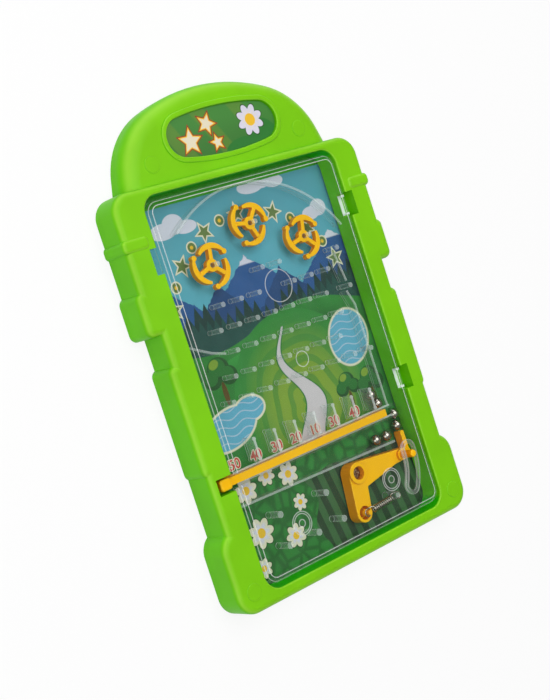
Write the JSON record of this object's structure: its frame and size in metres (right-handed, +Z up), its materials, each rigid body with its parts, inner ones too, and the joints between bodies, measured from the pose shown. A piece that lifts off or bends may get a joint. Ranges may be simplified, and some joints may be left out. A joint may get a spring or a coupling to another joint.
{
  "type": "tabletop pinball game",
  "caption": "Hand-held ball maze in a stepped case with a domed header: a spring lever shoots steel balls past spinners and pegs into pockets with a slide gate.",
  "frame": {"origin": "centre of the case's box, on the plane that it rests on", "axes": "+X to the launch lane's side, +Y along the case to the header, +Z up out of the clear cover"},
  "size_m": [0.1654, 0.258, 0.0224],
  "materials": {
    "case_green": "satin moulded plastic",
    "back_green": "matt moulded plastic",
    "screw_steel": "zinc plated",
    "print_header": "printed card",
    "print_field": "printed card",
    "clear_plastic": "clear polystyrene",
    "yellow": "gloss moulded plastic",
    "spring_steel": "bright wire",
    "ball_steel": "polished"
  },
  "bodies": {
    "case": {"front_frame": "case_green", "back_cover": "back_green", "back_screws": "screw_steel", "header_picture": "print_header", "playfield_card": "print_field", "playfield_tray": "clear_plastic", "field_pegs": "clear_plastic", "maze_walls": "clear_plastic", "pocket_dividers": "clear_plastic", "clear_cover": "clear_plastic", "lever_pivot_screw": "screw_steel", "lever_spring": "spring_steel"},
    "spinner_left": {"spinner_left": "yellow"},
    "spinner_centre": {"spinner_centre": "yellow"},
    "spinner_right": {"spinner_right": "yellow"},
    "slide_bar": {"slide_bar": "yellow"},
    "launch_lever": {"launch_lever": "yellow"},
    "launch_ball": {"launch_ball": "ball_steel"},
    "lane_ball": {"lane_ball": "ball_steel"},
    "return_ball_left": {"return_ball_left": "ball_steel"},
    "return_ball_right": {"return_ball_right": "ball_steel"},
    "pocket_ball_upper": {"pocket_ball_upper": "ball_steel"},
    "pocket_ball_lower": {"pocket_ball_lower": "ball_steel"}
  },
  "joints": [
    {"name": "spinner_left_spin", "type": "hinge", "parent": "case", "child": "spinner_left", "pos_m": [-0.03005, 0.039, 0.009], "axis": [0, 0, 1], "continuous": true},
    {"name": "spinner_centre_spin", "type": "hinge", "parent": "case", "child": "spinner_centre", "pos_m": [0.00063, 0.05389, 0.009], "axis": [0, 0, 1], "continuous": true},
    {"name": "spinner_right_spin", "type": "hinge", "parent": "case", "child": "spinner_right", "pos_m": [0.03219, 0.0392, 0.009], "axis": [0, 0, 1], "continuous": true},
    {"name": "gate_slide", "type": "slide", "parent": "case", "child": "slide_bar", "axis": [1, 0, 0], "range_m": [0, 0.0062]},
    {"name": "lever_pivot", "type": "hinge", "parent": "case", "child": "launch_lever", "pos_m": [0.0168, -0.08841, 0.0079], "axis": [0, 0, 1], "range_deg": [-25, 0], "stiffness_Nm_per_rad": 0.04, "springref_deg": 17.19, "deforming": ["lever_spring"]},
    {"name": "launch_ball_roll", "type": "slide", "parent": "case", "child": "launch_ball", "axis": [0, 1, 0], "range_m": [0, 0.075]},
    {"name": "lane_ball_roll", "type": "slide", "parent": "case", "child": "lane_ball", "axis": [0, 1, 0], "range_m": [0, 0.075]},
    {"name": "return_ball_right_roll", "type": "slide", "parent": "case", "child": "return_ball_right", "axis": [-0.9997, 0.0237, 0], "range_m": [0, 0.06]},
    {"name": "return_ball_left_roll", "type": "slide", "parent": "case", "child": "return_ball_left", "axis": [-0.9997, 0.0237, 0], "range_m": [0, 0.06]},
    {"name": "pocket_ball_lower_roll", "type": "slide", "parent": "case", "child": "pocket_ball_lower", "axis": [0, 1, 0], "range_m": [0, 0.01]},
    {"name": "pocket_ball_upper_roll", "type": "slide", "parent": "case", "child": "pocket_ball_upper", "axis": [0, 1, 0], "range_m": [0, 0.01]}
  ],
  "couplings": [
    {"joint": "lane_ball_roll", "follows": "launch_ball_roll", "ratio": 1},
    {"joint": "return_ball_left_roll", "follows": "return_ball_right_roll", "ratio": 1},
    {"joint": "pocket_ball_upper_roll", "follows": "pocket_ball_lower_roll", "ratio": 1}
  ]
}
